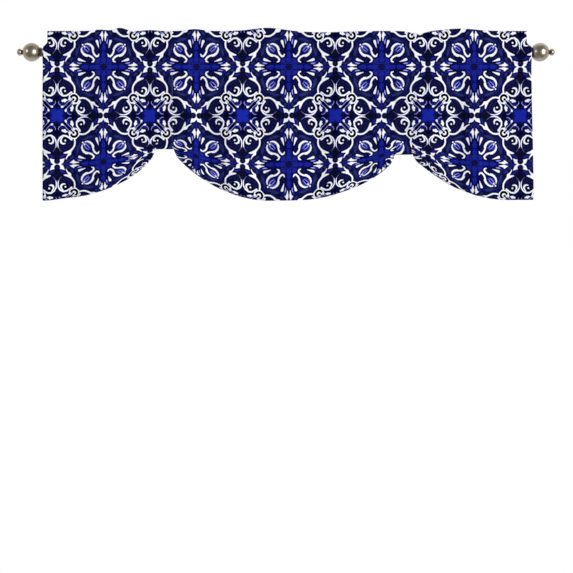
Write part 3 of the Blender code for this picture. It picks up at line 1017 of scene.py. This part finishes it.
def reverse_cloth():
    """The back of the cloth, where the print shows faintly through."""
    net = Net(bpy.data.materials.new("reverse_cloth"))
    p, whole = print_place(net)
    shapes = net.stroke(p, BUD_EDGE)
    shapes = net.nearest(shapes, net.disc(p, *REVERSE_EYE))
    shapes = net.strokes(p, [HEART_OUTER[::2], [HEART_INNER[k] for k in (1, 4, 6, 8)]], shapes)
    ghost = net.mix(net.cover(shapes, 3.0), REVERSE_GHOST, REVERSE_LIGHT)
    cloudy = net.mix(net.band(net.noise(whole, 0.05, 3.0), 0.3, 0.8), ghost, REVERSE_CLOUD)
    return net.surface(Base_Color=cloudy, Normal=weave(net), Roughness=0.8)


def pewter():
    """Brushed pewter with worn patches and painted shade at the collar and the neck; the brushing runs round
    the axis.
    """
    net = Net(bpy.data.materials.new("pewter"))
    place = net.node("ShaderNodeTexCoord").outputs["Object"]
    fine = net.noise(net.vec("MULTIPLY", place, (1.0, 0.12, 0.12)), BRUSHING_SCALE, 2.0)
    cloud = net.noise(place, TARNISH_SCALE, 3.0)
    along = net.less(net.math("ABSOLUTE", net.split(place)[0]), ROD_HALF_LENGTH)
    # Painted shade: the collar, where the ball meets it, and the neck are darkened towards a dark brown-grey
    collar = net.times(net.band(along, *COLLAR_START), net.band(along, *COLLAR_END))
    neck = net.less(net.math("ABSOLUTE", net.less(along, NECK_MIDDLE)), NECK_HALF)
    worn = net.mix(net.band(cloud, 0.35, 0.75), PEWTER_LIGHT, PEWTER_WORN)
    dark = net.most(collar, net.band(neck, 0.0012, -0.0004))
    colour = net.mix(net.times(dark, 0.75), worn, PAINTED_SHADE_TONE)
    rough = net.scaled(cloud, 0.18, 0.23)
    lines = net.relief(fine, 0.12, BRUSHING_HEIGHT)
    return net.surface(Base_Color=colour, Roughness=rough, Normal=lines, Metallic=1.0)


def thread():
    """Two-ply sewing thread."""
    net = Net(bpy.data.materials.new("thread"))
    place = net.node("ShaderNodeTexCoord").outputs["Object"]
    ply = net.noise(net.vec("MULTIPLY", place, (1.0, 3.0, 3.0)), PLY_SCALE, 1.0)
    return net.surface(Base_Color=net.mix(ply, THREAD_DARK, THREAD_LIGHT), Roughness=0.5)


# ---------------- pieces
def make_panel(printed, reverse):
    columns = []
    for x in panel_columns():
        column = []
        for y, z, height in panel_profile(x):
            placed = side_shift(x, z)
            column.append((placed, y, z, placed, height))
        columns.append(column)
    panel = cloth_sheet("valance_panel", columns, printed, reverse)
    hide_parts("panel")
    return panel


def seam_points(at, first, last):
    """Points half a stitch apart; at gives (x, y, z) and the way out of the cloth for a place on the seam."""
    count = 2 * round(abs(last - first) / STITCH_PITCH)
    return [at(place) for place in steps(first, last, count)]


def stitch_row(bm, points):
    """Short threads that come out of the cloth and go back in, one for each two points."""
    for (start, out), (end, _) in zip(points[::2], points[1::2]):
        start, end, out = Vector(start), Vector(end), Vector(out)
        run = (end - start) * (2 * STITCH_SHARE)
        side = run.cross(out).normalized()
        rings = []
        for share, height, girth in STITCH_SHAPE:
            centre = start + share * run + height * THREAD_RADIUS * out
            ring = []
            for k in range(THREAD_SIDES):
                angle = 2 * math.pi * k / THREAD_SIDES
                spoke = math.cos(angle) * out + math.sin(angle) * side
                ring.append(bm.verts.new(centre + girth * THREAD_RADIUS * spoke))
            rings.append(ring)
        for first, second in zip(rings, rings[1:]):
            for k in range(THREAD_SIDES):
                after = (k + 1) % THREAD_SIDES
                bm.faces.new((first[k], first[after], second[after], second[k]))
        bm.faces.new(rings[0][::-1])
        bm.faces.new(rings[-1])


def header_seam(way):
    def at(x):
        seam_z = pocket_radius(x) + SEAM_OVER_ROD
        return (side_shift(x, seam_z), way * (HEADER_HALF_GAP + CLOTH / 2), seam_z), (0.0, way, 0.0)
    return at


def pocket_seam(way):
    def at(x):
        z = -POCKET_DEPTH + (BACK_SEAM_RISE if way > 0 else 0.0)
        y = face_depth(x, -POCKET_DEPTH) + (CLOTH_STEP if way > 0 else 0.0)
        return (side_shift(x, z), y + way * CLOTH / 2, z), (0.0, way, 0.0)
    return at


def side_seam(x):
    def at(z):
        return (side_shift(x, z), face_depth(x, z) - CLOTH / 2, z), (0.0, -1.0, 0.0)
    return at


def edge_seam(x):
    """The hem's seam, a little way back from the free edge, on the printed side."""
    points = face_and_hem(x)
    shell = outward(points, CLOTH / 2)
    left = EDGE_SEAM
    for k in range(len(points) - 1, 0, -1):
        (y, z, _), (before_y, before_z, _) = shell[k], shell[k - 1]
        length = math.hypot(before_y - y, before_z - z)
        if length >= left:
            break
        left -= length
    share = left / length
    out = Vector((0.0, y - points[k][0], z - points[k][1])).normalized()
    z = blend(z, before_z, share)
    return (side_shift(x, z), blend(y, before_y, share), z), out


def make_stitches(material):
    bm = bmesh.new()
    low, high = PANEL_LEFT + SEAM_ENDS, PANEL_RIGHT - SEAM_ENDS
    for way in (-1, 1):
        stitch_row(bm, seam_points(header_seam(way), low, high))
        stitch_row(bm, seam_points(pocket_seam(way), low, high))
    for x in (PANEL_LEFT + SIDE_SEAM, PANEL_RIGHT - SIDE_SEAM):
        lowest = surplus_for(drop_at(x)) - PANEL_DROP
        stitch_row(bm, seam_points(side_seam(x), SIDE_SEAM_TOP, lowest))
    stitch_row(bm, seam_points(edge_seam, low, high))
    return add_object("seam_stitches", bm, material)


def make_tie(tie, printed, reverse):
    columns = []
    for x in steps(tie_side(tie, -1), tie_side(tie, 1), TIE_COLUMNS):
        aside = (x - TIES[tie]["middle"]) / (TIES[tie]["width"] / 2)
        lift = TIES[tie]["curl"][aside > 0.0] * aside ** CURL_POWER
        column = []
        for row, (y, z, height) in enumerate(tie_profile(x)):
            share = min(1.0, row / TIE_ROWS)
            curl = lift * smooth(CURL_ENDS * share) * smooth(CURL_ENDS * (1.0 - share))
            column.append((x, y - curl, z, x, height))
        columns.append(column)
    strap = cloth_sheet(tie + "_strap", columns, printed, reverse)
    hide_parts(tie)
    return strap


def arc_points(centre, half_length, radius, first, last, count):
    """Points of an ellipse's outline between two angles, measured from the axis that points inwards."""
    turns = steps(first, last, count)
    return [(centre - half_length * math.cos(a), radius * math.sin(a)) for a in turns]


def make_finial(name, way, metal):
    """A ringed collar, a ball, a neck and a small tip, turned in one piece; way is 1 at the right end."""
    ball_start = math.asin((RING_RADIUS - BALL_MEETS_RING) / BALL_RADIUS)
    ball_end = math.pi - math.asin(NECK_RADIUS / BALL_RADIUS)
    profile = list(COLLAR_PROFILE)
    profile += arc_points(BALL_CENTRE, BALL_RADIUS, BALL_RADIUS, ball_start, ball_end, BALL_STEPS)
    tip_start = math.asin(NECK_RADIUS / TIP_RADIUS)
    profile += arc_points(TIP_CENTRE, TIP_HALF_LENGTH, TIP_RADIUS, tip_start, math.pi, TIP_STEPS)[:-1]
    profile.append((TIP_CENTRE + TIP_HALF_LENGTH, 0.0))
    placed = [(way * (ROD_HALF_LENGTH + x), radius) for x, radius in profile]
    finial = turned(name + "_turned", placed, FINIAL_SIDES, metal)
    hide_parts(name)
    return finial


# ---------------- studio
def make_floor():
    """A pale floor that turns into the studio's light away from its middle."""
    bm = bmesh.new()
    bmesh.ops.create_grid(bm, x_segments=2, y_segments=2, size=FLOOR_HALF)
    net = Net(bpy.data.materials.new("floor"))
    place = net.node("ShaderNodeTexCoord").outputs["Object"]
    tone = net.mix(net.noise(place, 3.0, 3.0), *FLOOR_TONES)
    net.surface(Base_Color=tone, Roughness=0.9, Specular_IOR_Level=0.1)
    flat = net.vec("MULTIPLY", place, (1.0, 1.0, 0.0))
    reach = net.vec("LENGTH", flat)
    side = net.vec("DOT_PRODUCT", net.vec("NORMALIZE", flat), (0.0, 1.0, 0.0))
    glow = net.fill(net.node("ShaderNodeEmission"), Strength=net.studio_level(side))
    both = net.node("ShaderNodeMixShader", net.band(reach, *FLOOR_FADE), net.shader.outputs[0], glow)
    net.put(net.tree.nodes["Material Output"].inputs["Surface"], both.outputs[0])
    floor = add_object("floor", bm, net.owner)
    floor.location.z = FLOOR_LEVEL


def make_light(name, place, size, power):
    data = bpy.data.lights.new(name, "AREA")
    data.shape = "RECTANGLE"
    data.size, data.size_y = size
    data.energy = power
    light = bpy.data.objects.new(name, data)
    light.location = place
    light.rotation_mode = "QUATERNION"
    light.rotation_quaternion = (Vector(LIGHT_AIM) - Vector(place)).to_track_quat("-Z", "Y")
    bpy.context.scene.collection.objects.link(light)


def make_studio():
    """Soft light from all round, darker behind the camera, and two area lights."""
    world = bpy.data.worlds.new("studio")
    net = Net(world)
    toward = net.split(net.node("ShaderNodeTexCoord").outputs["Generated"])[1]
    net.put(net.tree.nodes["Background"].inputs["Color"], net.studio_level(toward))
    bpy.context.scene.world = world
    for light in LIGHTS:
        make_light(**light)


def make_camera():
    data = bpy.data.cameras.new("camera")
    data.sensor_width = SENSOR_WIDTH
    data.lens = SENSOR_WIDTH * CAMERA_DISTANCE / VIEW_WIDTH
    camera = bpy.data.objects.new("camera", data)
    camera.location = (CAMERA_PLACE[0], -CAMERA_DISTANCE, CAMERA_PLACE[1])
    camera.rotation_euler = (math.pi / 2, 0.0, 0.0)
    bpy.context.scene.collection.objects.link(camera)
    bpy.context.scene.camera = camera


def main():
    bpy.context.scene.view_settings.view_transform = "Standard"
    make_camera()
    make_studio()
    make_floor()
    printed = printed_cloth()
    reverse = reverse_cloth()
    panel = make_panel(printed, reverse)
    stitches = make_stitches(thread())
    pieces = [panel, stitches]
    for tie in TIES:
        strap = make_tie(tie, printed, reverse)
        pieces.append(strap)
    metal = pewter()
    for name, way in (("finial_left", -1), ("finial_right", 1)):
        finial = make_finial(name, way, metal)
        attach(finial, "root")
    for piece in pieces:
        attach(piece, "root")
    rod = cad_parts["rod"]
    for slot in rod.material_slots:
        slot.material = metal


main()
